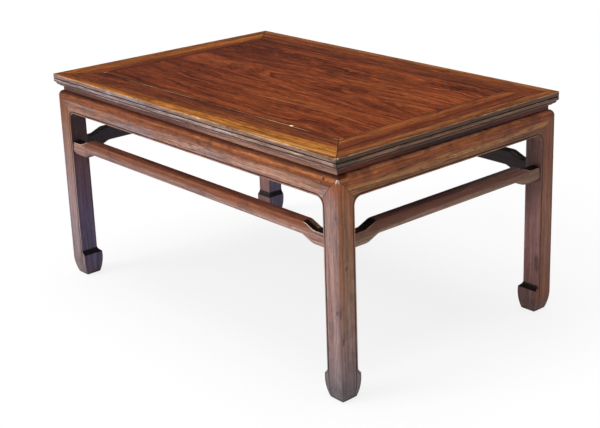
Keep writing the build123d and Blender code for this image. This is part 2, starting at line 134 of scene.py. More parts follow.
# %% A web of nodes
class Web:
    """The nodes of a material, or of the world."""

    def __init__(self, name, owner=None):
        self.owner = owner or bpy.data.materials.new(name)
        self.owner.use_nodes = True
        self.tree = self.owner.node_tree
        self.tree.nodes.clear()

    def node(self, kind, settings, *values, output=0, **named):
        """Adds a node: its settings first, then the values or wires of its sockets."""
        node = self.tree.nodes.new(kind)
        for key, value in settings.items():
            if key == "stops":
                self.set_stops(node.color_ramp, value)
            else:
                setattr(node, key, value)
        named_sockets = [(key.replace("_", " "), value) for key, value in named.items()]
        for key, value in list(enumerate(values)) + named_sockets:
            self.feed(node.inputs[key], value)
        return Wire(self, node.outputs[output]) if node.outputs else None

    def feed(self, socket, value):
        """Links a wire to a socket, or writes a value in it."""
        if isinstance(value, Wire):
            self.tree.links.new(value.socket, socket)
        else:
            socket.default_value = value

    def set_stops(self, ramp, stops):
        """Stops are a position from 0 to 1 and a colour."""
        while len(ramp.elements) < len(stops):
            ramp.elements.new(1.0)
        for element, (position, colour) in zip(ramp.elements, stops):
            element.position = position
            element.color = (*colour, 1.0)


# %% [markdown]
# ## Short names for the nodes that come back
#
# A dozen lines below need a noise, a soft step between two values or a mix of two colours.
# Each gets a short name here. Colours are mixed with Mix and vectors with Vector Math,
# because a Math node would turn a colour into one grey number.


# %% A finish
MIX_SOCKETS = (0, 6, 7)
MIX_COLOUR_OUTPUT = 2


class Finish(Web):
    """A web with the nodes that wood, floor and room are made of."""

    def ramp(self, value, stops):
        return self.node("ShaderNodeValToRGB", {"stops": stops}, value)

    def noise(self, vector, scale, detail=2.0, roughness=0.5, output="Fac"):
        amounts = {"Scale": scale, "Detail": detail, "Roughness": roughness}
        return self.node("ShaderNodeTexNoise", {}, vector, output=output, **amounts)

    def vector(self, x, y, z):
        return self.node("ShaderNodeCombineXYZ", {}, x, y, z)

    def parts(self, vector):
        """The X, Y and Z of a vector."""
        split = self.node("ShaderNodeSeparateXYZ", {}, vector)
        return [Wire(self, socket) for socket in split.socket.node.outputs]

    def vectors(self, operation, *values, output="Vector", **named):
        """Vector maths."""
        settings = {"operation": operation}
        return self.node("ShaderNodeVectorMath", settings, *values, output=output, **named)

    def step(self, value, low, high):
        """0 below low, 1 above high and smooth between them."""
        settings = {"interpolation_type": "SMOOTHSTEP"}
        return self.node("ShaderNodeMapRange", settings, value, low, high, 0.0, 1.0)

    def mix(self, factor, first, second, blend="MIX"):
        """Mixes two colours."""
        settings = {"data_type": "RGBA", "blend_type": blend}
        node = self.node("ShaderNodeMix", settings, output=MIX_COLOUR_OUTPUT)
        for slot, value in zip(MIX_SOCKETS, (factor, first, second)):
            self.feed(node.socket.node.inputs[slot], value)
        return node

    def times(self, colour, red, green, blue):
        """A colour made brighter or darker, channel by channel."""
        return self.mix(1.0, colour, (red, green, blue, 1.0), "MULTIPLY")


# %% [markdown]
# ## Colours as a painter sees them
#
# A screen shows a colour as three numbers from 0 to 255, and a shader counts light. The
# two differ by the screen's curve. Writing the screen's numbers and converting them keeps
# every colour below easy to compare with a real sample of waxed wood.


# %% Screen colours
def tint(red, green, blue):
    """A screen colour in the linear light that shaders use."""
    return tuple(
        (value / 255 / 12.92) if value < 11 else ((value / 255 + 0.055) / 1.055) ** 2.4
        for value in (red, green, blue)
    )


def paint(*screen_colour):
    """A screen colour with the full cover that a colour socket asks for."""
    return (*tint(*screen_colour), 1.0)


# Unwaxed raw wood darkened with painted shade, for faces under and inside the table
shaded_raw_wood = paint(62, 42, 42)
# Dirt for joints and mitres, which is also painted shade where it lines a quirk
dirt_and_quirk_shade = paint(30, 17, 14)
# Dirt with painted shade, for the corners
shade_and_dirt_colour = paint(18, 12, 11)
print("raw wood in linear light", [round(part, 3) for part in shaded_raw_wood])

# %% [markdown]
# ## Where a point lies and which way it faces
#
# Old furniture isn't one colour. Its top is polished by hands, its front has faded in the
# light and carries a painted sheen, its hoofs are grey from wet floors, and its inner faces
# were never waxed and are painted dark with the shade under the table. Painted images could
# hold all that, but they would have to be redone for each board. So each material asks
# where on the table a point is and which way its face looks.


# %% Place and direction
class Facing:
    """The place of a shaded point on the table, and masks for the way its face looks."""

    def __init__(self, finish):
        self.finish = finish
        self.place = finish.node("ShaderNodeTexCoord", {}, output="Object")
        self.x, self.y, self.z = finish.parts(self.place)
        self.from_middle_x = abs(self.x)
        self.from_middle_y = abs(self.y)
        self.normal = finish.node("ShaderNodeNewGeometry", {}, output="True Normal")
        normal_x, normal_y, normal_z = finish.parts(self.normal)
        step = finish.step
        self.to_front = step(-normal_y, 0.3, 0.9)
        self.to_right = step(normal_x, 0.3, 0.9)
        self.up = step(normal_z, 0.35, 0.85)
        self.down = step(-normal_z, 0.35, 0.85)
        self.lifted = step(normal_z, 0.05, 0.25)
        self.level = step(normal_z, 0.985, 0.998)
        self.inward_x = step(normal_x * self.x.maths("SIGN"), -0.4, -0.8)
        self.inward_y = step(normal_y * self.y.maths("SIGN"), -0.4, -0.8)


# %% [markdown]
# ## Arrises, corners and single spots
#
# Hands rub the arrises, which also get a painted highlight, and the corners are darkened
# with dirt and painted shade. Both could be painted along every edge, but two nodes find
# them. Ambient occlusion is low in the corners where shade falls and a cloth can't reach.
# A bevelled normal leaves the true one near an arris. Wear in one place, such as a dent,
# or a painted highlight in one place, is an ellipsoid round that place, and noise shakes
# its border so that it looks worn and not stamped.


# %% Edges and spots
ARRIS_RADIUS = 0.0014
CORNER_REACH = 0.009


class Spot(Facing):
    """A shaded point, with masks for wear, painted shade and painted highlights round it."""

    def __init__(self, finish):
        super().__init__(finish)
        self.find_edges()
        self.haze = finish.noise(self.place, 26.0, 3.0, 0.6)
        shake = finish.noise(self.place, 38.0, 2.0, output="Color")
        self.shake = finish.vectors("SUBTRACT", shake, (0.5, 0.5, 0.5))

    def find_edges(self):
        """Masks for rubbed and highlit arrises, and for the open places that shade and dirt miss.
        """
        finish = self.finish
        self.soft_normal = finish.node("ShaderNodeBevel", {"samples": 4}, Radius=ARRIS_RADIUS)
        closeness = finish.vectors("DOT_PRODUCT", self.soft_normal, self.normal, output="Value")
        self.openness = finish.node(
            "ShaderNodeAmbientOcclusion", {"samples": 6}, Distance=CORNER_REACH, output="AO"
        )
        reachable = finish.step(self.openness, 0.45, 0.9)
        self.edge = finish.step(1.0 - closeness, 0.01, 0.14) * reachable
        soft_x, soft_y, soft_z = finish.parts(self.soft_normal)
        upper = finish.step(soft_z, 0.1, 0.3)
        self.front_arris = upper * finish.step(-soft_y, 0.1, 0.3)
        self.right_arris = upper * finish.step(soft_x, 0.1, 0.3)

    def near(self, centre, reach, fade=0.5, ragged=0.03):
        """1 at a centre, 0 outside an ellipsoid round it, with a ragged edge."""
        finish = self.finish
        shift = finish.vectors("SCALE", self.shake, Scale=ragged)
        shaken = finish.vectors("ADD", self.place, shift)
        offset = finish.vectors("SUBTRACT", shaken, centre)
        scaled = finish.vectors("DIVIDE", offset, reach)
        distance = finish.vectors("LENGTH", scaled, output="Value")
        return 1.0 - finish.step(distance, 1.0 - fade, 1.0)

    def line(self, distance, half_width):
        """1 within a thin line, where the distance to it is almost 0."""
        return 1.0 - self.finish.step(abs(distance), half_width * 0.5, half_width * 1.3)


# %% [markdown]
# ## How the wood is cut
#
# A board shows its growth rings where the saw met them. A wood texture could be stretched
# over each face, but then the faces of one board wouldn't agree. If a material works out
# how far each point lies from the heart of the log, the rings come out right on every face
# at once: straight lines on one side, arches on another. The heart is a line along the
# grain, somewhere outside the board.

# %% The way a board lies in its log
GRAIN_TURN = {
    "X": (0.0, 0.0, 0.0),
    "Y": (0.0, 0.0, -math.pi / 2),
    "Z": (0.0, math.pi / 2, 0.0),
}


def grain_of(name):
    """Legs are cut along Z, and rails, aprons and stretchers along their own length."""
    if name.startswith("leg"):
        return "Z"
    if name.startswith("batten") or name.endswith(("_left", "_right")):
        return "Y"
    return "X"


def middle_of(name):
    """The middle of a board across its grain."""
    low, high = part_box(name)
    x, y, z = (low + high) / 2
    return {"X": (y, z), "Y": (-x, z), "Z": (y, -x)}[grain_of(name)]


def lie_of(finish, spot, name):
    """A point's place along, across and through a board."""
    turn = GRAIN_TURN[grain_of(name)]
    settings = {"vector_type": "POINT"}
    turned = finish.node("ShaderNodeMapping", settings, spot.place, (0, 0, 0), turn)
    return finish.parts(turned)


def stretched(finish, lie, lengthwise, crosswise, seed=0.0):
    """A place for noise drawn out along the grain. The two numbers are marks per metre."""
    along, across, through = lie
    return finish.vector(along * lengthwise + seed, across * crosswise, through * crosswise)


for name in ("leg_front_left", "apron_left", "top_panel"):
    print(name, "has its grain along", grain_of(name))

# %% [markdown]
# ## Rings round the heart
#
# No trunk is straight or quite round. The rings could be bent after they are drawn, but
# bending the distance itself is simpler: slow noise makes the heart wander. Where a branch
# began, the rings flow round it and crowd together, which a small rise in the distance
# gives. In wild grain the heart wanders more than twice as far.


# %% Distance from the heart
SWIRL_FADE = 0.9
THROUGH_THE_BOARD = 0.05


def on_top(spot, centre, reach):
    """A soft patch on the top, round a centre given in x and y."""
    return spot.near((*centre, TOP), (*reach, THROUGH_THE_BOARD), SWIRL_FADE)


def from_heart(finish, spot, lie, heart, seed, wild, growth):
    """Distance from the heart of the log, which sets the growth ring."""
    along, across, through = lie
    slow = stretched(finish, lie, 4.0, 14, seed)
    sway = finish.parts(finish.noise(slow, 1.0, 2.5, output="Color"))
    sway_size = wild * (growth["wander"] * 5) + growth["wander"] * 4
    aside = across - heart[0] + (sway[0] - 0.5) * sway_size
    below = through - heart[1] + (sway[1] - 0.5) * sway_size + along * growth["lean"]
    radius = (aside ** 2 + below ** 2) ** 0.5
    for centre, size, lift in growth["knots"]:
        reach = (size * 2.2, size, THROUGH_THE_BOARD)
        radius = radius + spot.near((*centre, TOP), reach, 1.0, 0.006) * lift
    return radius


# %% [markdown]
# ## Veins and curls
#
# This kind of hardwood has dark veins that follow some of the rings. They could be one more
# colour in the ramp of the rings, but then every ring would have one. A second noise over
# the same distance, with only its peaks kept, draws a few. In wild grain thin curly lines
# are added: a twisted noise is folded back and forth, and each fold leaves a line.


# %% Dark veins
def dark_veins(finish, lie, radius, seed, wild, growth):
    ring_place = finish.vector(radius / growth["ring_width"] * 2.4, lie[0] * 1.5, seed)
    veins = finish.step(finish.noise(ring_place, 0.6, 2.0) + wild * 0.06, 0.57, 0.66)
    if growth["swirls"]:
        veins = veins.at_least(curls(finish, lie, seed, wild))
    return veins


def curls(finish, lie, seed, wild):
    """Thin curly lines where the grain is wild."""
    place = stretched(finish, lie, 14, 36, seed)
    twisted = finish.node("ShaderNodeTexNoise", {}, place, Scale=1.0, Distortion=1.8)
    fold = twisted.maths("PINGPONG", 0.12)
    lines = 1.0 - finish.step(fold, 0.022, 0.060)
    return (lines * finish.step(wild, 0.02, 0.35)).at_most(1.0)


# %% [markdown]
# ## From streaks down to pores
#
# Close to, a board has streaks of a few millimetres, fibres, short dark and golden flecks,
# and open pores. One noise with many octaves would give round grains, but wood is drawn
# out lengthwise. So each is a noise of its own, stretched along the grain by its own
# amount. On a broad flat board the streaks follow the rings, so they are laid over the
# distance from the heart there. Slow clouds stand for wax that took unevenly.


# %% The grain of a board
class Grain:
    """Figure, dark veins, fibres, pores, flecks and clouds of a board."""

    def __init__(self, finish, spot, name, heart, seed, growth):
        lie = lie_of(finish, spot, name)
        along, across, through = lie
        wild = sum(on_top(spot, centre, reach) for centre, reach in growth["swirls"])
        radius = from_heart(finish, spot, lie, heart, seed, wild, growth)
        ring_place = finish.vector(radius / growth["ring_width"], along * 0.8 + seed, seed)
        rings = finish.noise(ring_place, 0.5, 4.0, 0.68)
        self.veins = dark_veins(finish, lie, radius, seed, wild, growth)

        streaks_over = (along, radius if growth["swirls"] else across, through)
        streaks = finish.noise(stretched(finish, streaks_over, 8, 190, seed), 1.0, 3.0, 0.7)
        self.fibres = finish.noise(stretched(finish, lie, 20, 700, seed), 1.0, 2.0, 0.6)
        pore_noise = finish.noise(stretched(finish, lie, 90, 1300), 1.0, 1.0)
        self.pores = finish.step(pore_noise, 0.6, 0.7)
        self.flecks = finish.noise(stretched(finish, lie, 50, 260, seed), 1.0, 1.0)
        self.clouds = finish.noise(stretched(finish, lie, 5, 16), 1.0, 3.0, 0.6)

        fine = growth["fine"]
        figure = (rings - 0.5) * 0.9 + (streaks - 0.5) * (0.55 * fine)
        figure = figure + (self.fibres - 0.5) * (0.5 * fine)
        self.figure = figure + (self.clouds - 0.5) * 0.4 + 0.5


# %% [markdown]
# ## From grain to a finished surface
#
# The tone is the colour that light, wax and dirt have given a place, with painted light and
# shade in it, and each kind of piece has its own below. The figure could be mixed from two
# fixed browns, but then a faded face would keep them. So it multiplies the tone, darker in
# the late wood of each ring and paler in the early wood. Veins and pores take the colour of
# late wood, and flecks of sap turn gold. Last, the arrises are rubbed paler, which also
# paints their highlight, and the corners get painted shade with dirt.


# %% Colour of the grain
def figured(finish, tone, figure, depth):
    """The tone, darker in the late wood and paler in the early wood."""
    low, high = 0.5 - 0.2 / depth, 0.5 + 0.2 / depth
    late, middle, early = (0.2, 0.15, 0.14), (0.5, 0.5, 0.5), (0.86, 0.95, 1.0)
    shades = finish.ramp(figure, ((low, late), (0.5, middle), (high, early)))
    return finish.mix(1.0, finish.times(tone, 2.0, 2.0, 2.0), shades, "MULTIPLY")


def marked(finish, colour, grain, vein_depth, fleck_depth):
    """Veins, pores and flecks over the figure."""
    late_wood = finish.times(colour, 0.3, 0.22, 0.2)
    gold = finish.times(colour, 2.2, 2.3, 1.9)
    dark_flecks = finish.step(grain.flecks, 0.6, 0.72)
    pale_flecks = finish.step(1.0 - grain.flecks, 0.62, 0.76)
    colour = finish.mix(grain.veins * vein_depth, colour, late_wood)
    colour = finish.mix(grain.pores * 0.45, colour, late_wood)
    colour = finish.mix(dark_flecks * fleck_depth, colour, late_wood)
    return finish.mix(pale_flecks * (fleck_depth * 0.7), colour, gold)


# %% The hardwood
EVEN_GROWTH = {
    "ring_width": 0.004,
    "wander": 0.006,
    "lean": 0.0,
    "fine": 1.0,
    "depth": 0.7,
    "vein_depth": 0.4,
    "fleck_depth": 0.3,
    "swirls": (),
    "knots": (),
}


def hardwood(name, heart, seed, tones, growth):
    """Old waxed hardwood. Tones is a function that gives the tone of a spot."""
    finish = Finish(f"wood_{name}")
    spot = Spot(finish)
    middle = middle_of(name)
    heart = (middle[0] + heart[0], middle[1] + heart[1])
    grain = Grain(finish, spot, name, heart, seed, growth)
    tone = tones(finish, spot, grain.clouds)

    wood = figured(finish, tone, grain.figure, growth["depth"])
    wood = marked(finish, wood, grain, growth["vein_depth"], growth["fleck_depth"])
    # Arrises made paler: rubbed wear, and a painted highlight
    rubbed_and_highlit = finish.mix(spot.edge * 0.45, wood, finish.times(tone, 1.75, 1.85, 1.95))
    # Painted shade with dirt in the corners, where ambient occlusion is low
    shade_and_dirt = 1.0 - finish.step(spot.openness, 0.25, 0.88)

    gloss_loss = grain.fibres * 0.1 + grain.pores * 0.2 + grain.clouds * 0.08 + shade_and_dirt * 0.2
    height = grain.fibres * 0.3 - grain.pores * 0.8 + grain.figure * 0.3
    relief = {"Strength": 0.16, "Distance": 0.0004}
    surface = finish.node(
        "ShaderNodeBsdfPrincipled",
        {},
        Base_Color=finish.mix(shade_and_dirt * 0.9, rubbed_and_highlit, shade_and_dirt_colour),
        Roughness=0.4 - spot.up * 0.1 + gloss_loss,
        Normal=finish.node("ShaderNodeBump", {}, Height=height, Normal=spot.soft_normal, **relief),
        Specular_IOR_Level=0.25,
    )
    finish.node("ShaderNodeOutputMaterial", {}, surface)
    return finish.owner


# %% [markdown]
# ## A wood of its own for each board
#
# Two boards from one tree are never alike. One material for all would show the same veins
# on each leg. So each board gets its own, with another seed and another place in the log,
# and the numbers follow from the board's name in the alphabet, so that each run gives the
# same table.


# %% Dress a kind of board
SEED_STEP = 3.7


def heart_beside(number):
    """The place of the log's heart beside a board, across and below its middle."""
    return (0.05 + 0.02 * (number % 3), -0.06 - 0.015 * (number % 4))


def dress(kind, tones, heart=None, **growth):
    """Gives every board of a kind a hardwood of its own."""
    growth = EVEN_GROWTH | growth
    for number, name in enumerate(sorted(boards)):
        if name.startswith(kind):
            own_heart = heart or heart_beside(number)
            wood = hardwood(name, own_heart, SEED_STEP * number, tones, growth)
            boards[name].data.materials.clear()
            boards[name].data.materials.append(wood)
            print("hardwood", wood.name, "runs along", grain_of(name))


# %% [markdown]
# ## Tones that change with a distance
#
# Most tones below run smoothly over one distance: up a leg, or across a rail. A few
# gradients mixed by hand would do, but a colour ramp holds all the stops in one node. Its
# stops are tones from a small palette, so that all the rails look cut from one tree.


# %% Ramps over height and over the width of a rail
RAIL_WIDTH = 100
PALE_HONEY = (182, 126, 64)
HONEY = (168, 102, 38)
AMBER = (150, 83, 32)
RUSSET = (130, 67, 29)
UMBER = (126, 76, 38)
CHESTNUT = (113, 54, 24)
DARK_CHESTNUT = (104, 46, 22)


def by_height(finish, spot, *stops):
    """A tone that changes upwards. Stops are a height in metres and a screen colour."""
    ramp = [(height / TOP, tint(*colour)) for height, colour in stops]
    return finish.ramp(spot.z / TOP, ramp)


def across_rail(finish, from_edge, *stops):
    """A tone that changes across a rail. Stops are millimetres from its edge and a colour."""
    ramp = [(distance / RAIL_WIDTH, tint(*colour)) for distance, colour in stops]
    return finish.ramp(from_edge * (1000 / RAIL_WIDTH), ramp)


# %% [markdown]
# ## The joint round the panel
#
# The panel floats in a groove, so that it can swell and shrink. Dirt settles in the joint,
# and along the front the frame's inner arris gets a painted highlight: a broken bright line
# with one small painted glint. The model has the joint, but with a tenth of a millimetre
# of play it is too fine to show, so its dirt and its painted highlight are drawn as lines
# beside it.


# %% Lines along the joint
# Place of a painted glint on the front joint
JOINT_GLINT = (0.2272, -PANEL_Y, TOP)


def joint_lines(finish, spot, tone, clouds):
    """The dark joint round the panel, and the painted highlight on the arris along its front."""
    # Below 0 on the panel and above 0 on the frame
    distance = (spot.from_middle_x - PANEL_X).at_least(spot.from_middle_y - PANEL_Y)
    broken = finish.step(clouds, 0.38, 0.52)
    front = finish.step(-spot.y, PANEL_Y - 0.01, PANEL_Y - 0.005) * broken
    tone = finish.mix((1.0 - finish.step(distance, 0.003, 0.012)) * 0.2, tone, dirt_and_quirk_shade)
    tone = finish.mix(spot.line(distance, 0.0011) * 0.85, tone, dirt_and_quirk_shade)
    # A broken painted highlight along the frame's inner arris in front
    joint_highlight = spot.line(distance - 0.0024, 0.0009) * front
    tone = finish.mix(joint_highlight * 0.65, tone, paint(226, 178, 120))
    # A small painted glint on that arris
    joint_glint = spot.near(JOINT_GLINT, (0.006, 0.003, 0.01), 0.6, 0.0)
    return finish.mix(joint_glint, tone, paint(255, 232, 196))


# %% [markdown]
# ## The moulded edge
#
# Under the flat top the frame's edge steps back in three members with two quirks between
# them. Its front has faded to grey and lost its polish, and is paler still with a painted
# sheen, with bluish patches of painted sheen in places, and its ends stay dark. The quirks
# hold dark lines of dirt and painted shade, and the topmost arris gets a painted highlight.
# All of it follows the height on the edge, so one ramp for each side is enough.


# %% Tones of the moulded edge
QUIRKS = (0.4192, 0.4104)
EDGE_LEVELS = (0.4085, 0.412, 0.418, 0.4205)


def edge_ramp(finish, spot, low, middle, high):
    """The tone of the moulding, from its lowest member to its highest."""
    return by_height(finish, spot, *zip(EDGE_LEVELS, (low, middle, middle, high)))


def moulding_tone(finish, spot, clouds):
    # The front's pale grey is part fading and part painted sheen
    front_left = edge_ramp(finish, spot, (168, 126, 116), (178, 152, 150), (136, 108, 100))
    front_right = edge_ramp(finish, spot, (168, 124, 108), (166, 134, 117), (140, 106, 88))
    side = edge_ramp(finish, spot, (90, 52, 32), (108, 74, 52), (86, 55, 34))
    front = finish.mix(finish.step(spot.x, -0.2, 0.2), front_left, front_right)
    # Bluish patches of painted sheen on the front
    painted_sheen = finish.step(clouds, 0.5, 0.62) * finish.step(spot.z, *EDGE_LEVELS[:2])
    front = finish.mix(painted_sheen * 0.5, front, paint(146, 142, 154))
    moulding = finish.mix(spot.to_front, side, front)
    corner = spot.near((EDGE_X, -EDGE_Y, 0.414), (0.012, 0.012, 0.014), 0.6, 0.01)
    moulding = finish.mix(corner * 0.7, moulding, paint(70, 62, 52))
    dull = spot.near((EDGE_X, 0.015 - EDGE_Y, 0.414), (0.012, 0.045, 0.02), 0.8, 0.02)
    moulding = finish.mix(dull * 0.5, moulding, paint(50, 50, 44))
    # Dark lines in the quirks: dirt and painted shade
    for level in QUIRKS:
        moulding = finish.mix(spot.line(spot.z - level, 0.0012) * 0.85, moulding, dirt_and_quirk_shade)
    return moulding


# %% [markdown]
# ## Rim and mitres
#
# Where the flat top meets the edge, a painted highlight runs along the rim, with a painted
# gleam at the near corner. The mitres of the frame show as dark hairlines. The rim's
# highlight could come from the bevelled normal alone, but it is stronger on one side of the
# table, so it is a painted line at the height of the top with a share that grows to the
# right.


# %% Rim, mitres and corner of the frame
def edge_tones(finish, spot, clouds, top_tone):
    """Joins the tone of the flat top to the moulding under it."""
    moulding = moulding_tone(finish, spot, clouds)
    flat_top = joint_lines(finish, spot, top_tone, clouds)
    colour = finish.mix(finish.step(spot.z, TOP - 0.0012, TOP - 0.0004), moulding, flat_top)

    # A painted highlight along the rim
    rim_highlight_share = finish.step(spot.x, -0.25, 0.15) * 0.3 + 0.12
    rim_highlight = spot.line(spot.z - (TOP - 0.0010), 0.0008) * rim_highlight_share * (1.0 - spot.to_right * 0.5)
    colour = finish.mix(rim_highlight, colour, paint(214, 182, 140))
    # A painted highlight at the near corner
    corner = (EDGE_X - 0.001, 0.001 - EDGE_Y, TOP - 0.0005)
    corner_highlight = spot.near(corner, (0.006, 0.006, 0.003), 0.5, 0.0)
    colour = finish.mix(corner_highlight * 0.8, colour, paint(240, 214, 160))
    from_mitre = (spot.from_middle_x - EDGE_X) - (spot.from_middle_y - EDGE_Y)
    colour = finish.mix(spot.line(from_mitre, 0.0012) * 0.8, colour, dirt_and_quirk_shade)
    # Undersides get raw wood with painted shade
    return finish.mix(spot.down, colour, shaded_raw_wood)


# %% [markdown]
# ## The long rails
#
# Hands rest on the outer strip of each rail and polish it to honey, while the strip by the
# panel stays red and dark. Two flat colours with a sharp border would look like two boards,
# so the tone runs over the distance from the edge. The border isn't parallel to the edge:
# it follows the heartwood of the board, so on the front rail the distance is slanted
# before it goes into the ramp.


# %% Long rails
FRAME_GROWTH = {"depth": 0.75, "fine": 1.9, "fleck_depth": 0.8, "vein_depth": 0.6}


def long_rail_tones(finish, spot, clouds):
    from_edge = EDGE_Y - spot.from_middle_y + (clouds - 0.5) * 0.02
    slanted = from_edge + (0.34 - spot.x) * 0.055
    front = across_rail(
        finish, slanted, (1, AMBER), (8, PALE_HONEY), (16, HONEY), (34, HONEY), (45, RUSSET),
        (66, CHESTNUT), (82, DARK_CHESTNUT),
    )
    back = across_rail(
        finish, from_edge, (9, UMBER), (16, RUSSET), (33, CHESTNUT), (55, CHESTNUT),
        (65, DARK_CHESTNUT),
    )
    tone = finish.mix(finish.step(spot.y, -0.1, 0.1), front, back)
    return edge_tones(finish, spot, clouds, tone)


dress("frame_rail", long_rail_tones, **FRAME_GROWTH)

# %% [markdown]
# ## The end rails
#
# The end rails are the short sides of the frame, with the grain along them. The left one is
# honey for half its width, and the right one is darker and turns lighter again towards the
# panel. Each has its own ramp, and the left one's border is slanted as the front rail's is.


# %% End rails
def end_rail_tones(finish, spot, clouds):
    from_edge = EDGE_X - spot.from_middle_x + (clouds - 0.5) * 0.02
    left = across_rail(
        finish, from_edge - spot.y * 0.03, (4, UMBER), (18, AMBER), (38, AMBER), (55, CHESTNUT),
        (72, DARK_CHESTNUT),
    )
    right = across_rail(
        finish, from_edge, (4, CHESTNUT), (12, UMBER), (18, UMBER), (23, DARK_CHESTNUT),
        (42, DARK_CHESTNUT), (62, RUSSET),
    )
    tone = finish.mix(finish.step(spot.x, -0.1, 0.1), left, right)
    return edge_tones(finish, spot, clouds, tone)


dress("frame_end", end_rail_tones, **FRAME_GROWTH)

# %% [markdown]
# ## The panel
#
# The panel is the joiner's best board, cut flat so that the rings show as arches, with
# dark wild grain near the back and golden sapwood streaks towards the right. Chance would
# put these anywhere, and a person looks at this board first, so their places are chosen:
# each is a soft patch given by its middle and its reach. The heart lies close below the
# board and leans, which opens the arches along it.


# %% Patches of the panel
# Each patch is its middle and its reach, in x and y
DARK_FIGURE = (
    ((-0.27, 0.142), (0.12, 0.034)),
    ((-0.14, 0.142), (0.12, 0.038)),
    ((-0.01, 0.122), (0.12, 0.028)),
    ((0.27, 0.176), (0.11, 0.040)),
)
GOLDEN_STREAKS = (
    ((0.12, 0.150), (0.10, 0.028)),
    ((0.15, 0.080), (0.19, 0.032)),
    ((0.27, 0.030), (0.08, 0.030)),
    ((0.13, -0.095), (0.22, 0.028)),
    ((-0.22, 0.020), (0.12, 0.018)),
)
# Each knot is its middle, its size and how far it pushes the rings out
PANEL_KNOTS = (
    ((-0.138, 0.020), 0.014, 0.010),
    ((-0.165, 0.146), 0.012, 0.012),
    ((0.020, 0.124), 0.014, 0.010),
    ((0.150, 0.028), 0.022, 0.012),
    ((0.225, 0.198), 0.008, 0.008),
    ((-0.210, -0.150), 0.045, 0.014),
    ((0.240, -0.155), 0.050, 0.014),
)
print(len(DARK_FIGURE), "dark patches,", len(GOLDEN_STREAKS), "golden,", len(PANEL_KNOTS), "knots")


# %% The panel's tone and growth
PANEL_HEART = (0.015, -0.05)
PANEL_GROWTH = {
    "depth": 0.8,
    "vein_depth": 0.75,
    "fleck_depth": 0.8,
    "wander": 0.012,
    "lean": -0.07,
    "fine": 1.9,
}


def panel_tones(finish, spot, clouds):
    to_light = finish.step(spot.x, -0.3, 0.1)
    tone = finish.mix(to_light, paint(122, 53, 24), paint(140, 64, 27))
    for centre, reach in DARK_FIGURE:
        tone = finish.mix(on_top(spot, centre, reach) * 0.3, tone, paint(76, 30, 18))
    for centre, reach in GOLDEN_STREAKS:
        tone = finish.mix(on_top(spot, centre, reach) * 0.38, tone, paint(166, 92, 40))
    tone = joint_lines(finish, spot, tone, clouds)
    # The underside gets raw wood with painted shade
    return finish.mix(spot.down, tone, shaded_raw_wood)


dress(
    "top_panel", panel_tones, PANEL_HEART, swirls=DARK_FIGURE, knots=PANEL_KNOTS, **PANEL_GROWTH
)

# %% [markdown]
# ## The bead round the openings
#
# A fine bead runs along the lower edge of each apron, turns a small curve and goes down
# the inner edge of the legs. Its shape is in the model. The painted highlight on its crest
# and the dirt and painted shade in its quirk could be left to the corner and arris masks,
# but those are too soft for lines of one millimetre. The opening is a rectangle with round
# upper corners, so the distance from its rim places both lines, and one helper serves
# aprons and legs.


# %% Distance from an opening
OPENING_X, OPENING_Y, OPENING_RADIUS = 0.3775, 0.2355, 0.015
APRON_FOOT = 0.3535
BEAD = 0.0034


def from_opening(finish, spot):
    """Distance from the rim of the opening under an apron, on its long or short side."""
    rise = spot.z - (APRON_FOOT - OPENING_RADIUS)
    on_long = finish.step(spot.from_middle_y, LEG_Y - 0.0145, LEG_Y - 0.0125)
    across_long = spot.from_middle_x - (OPENING_X - OPENING_RADIUS)
    across_short = spot.from_middle_y - (OPENING_Y - OPENING_RADIUS)
    across = across_short + (across_long - across_short) * on_long
    corner = finish.vector(across.at_least(0.0), rise.at_least(0.0), 0.0)
    return finish.vectors("LENGTH", corner, output="Value") - OPENING_RADIUS


def with_bead(finish, spot, tone):
    """The crest of the bead gets a painted highlight and its quirk dirt and painted shade."""
    distance = from_opening(finish, spot)
    # A painted highlight on the crest, with broken painted glints
    bead_highlight = finish.times(tone, 1.6, 1.5, 1.35)
    glints = finish.step(spot.haze, 0.42, 0.56) * spot.to_front
    tone = finish.mix(spot.line(distance - BEAD * 0.4, 0.0011) * 0.5, tone, bead_highlight)
    tone = finish.mix(spot.line(distance - BEAD * 1.8, 0.0012) * glints * 0.5, tone, bead_highlight)
    # The quirk: dirt and painted shade
    return finish.mix(spot.line(distance - BEAD, 0.0013) * 0.9, tone, dirt_and_quirk_shade)


# %% [markdown]
# ## The mitres between legs and aprons
#
# Each apron meets its legs in a slanting joint that runs up to the leg's outer corner. The
# boards touch there, and a gap wide enough to see would be bad joinery, so the joint is a
# dark hairline on the face: a thin line where height and distance from the corner agree.


# %% Mitre lines
LEG_SIDE = 0.0365
MITRE_LINE = 0.0011


def corner_mitre(finish, spot):
    """1 on the mitre lines between legs and aprons."""
    slope = (APRON_TOP - APRON_FOOT) / LEG_SIDE
    on_long = (spot.z - APRON_TOP) + (LEG_X - spot.from_middle_x) * slope
    on_short = (spot.z - APRON_TOP) + (LEG_Y - spot.from_middle_y) * slope
    long_face = finish.step(spot.from_middle_y, LEG_Y - 0.014, LEG_Y - 0.012)
    short_face = finish.step(spot.from_middle_x, LEG_X - 0.014, LEG_X - 0.012)
    long_line = spot.line(on_long, MITRE_LINE) * long_face
    short_line = spot.line(on_short, MITRE_LINE) * short_face
    lines = (long_line + short_line).at_most(1.0)
    return lines * finish.step(spot.z, APRON_FOOT - 0.01, APRON_FOOT)


# %% [markdown]
# ## The upright face of an apron
#
# The face of an apron catches the light and has faded, in front to a greyish pink that is
# partly a painted sheen, with paler and greyer patches of painted sheen, and at the ends
# less. The sheen could be one grey over everything, but it lies in patches, so the large
# patches have places and only the small bluish sheen comes from noise.


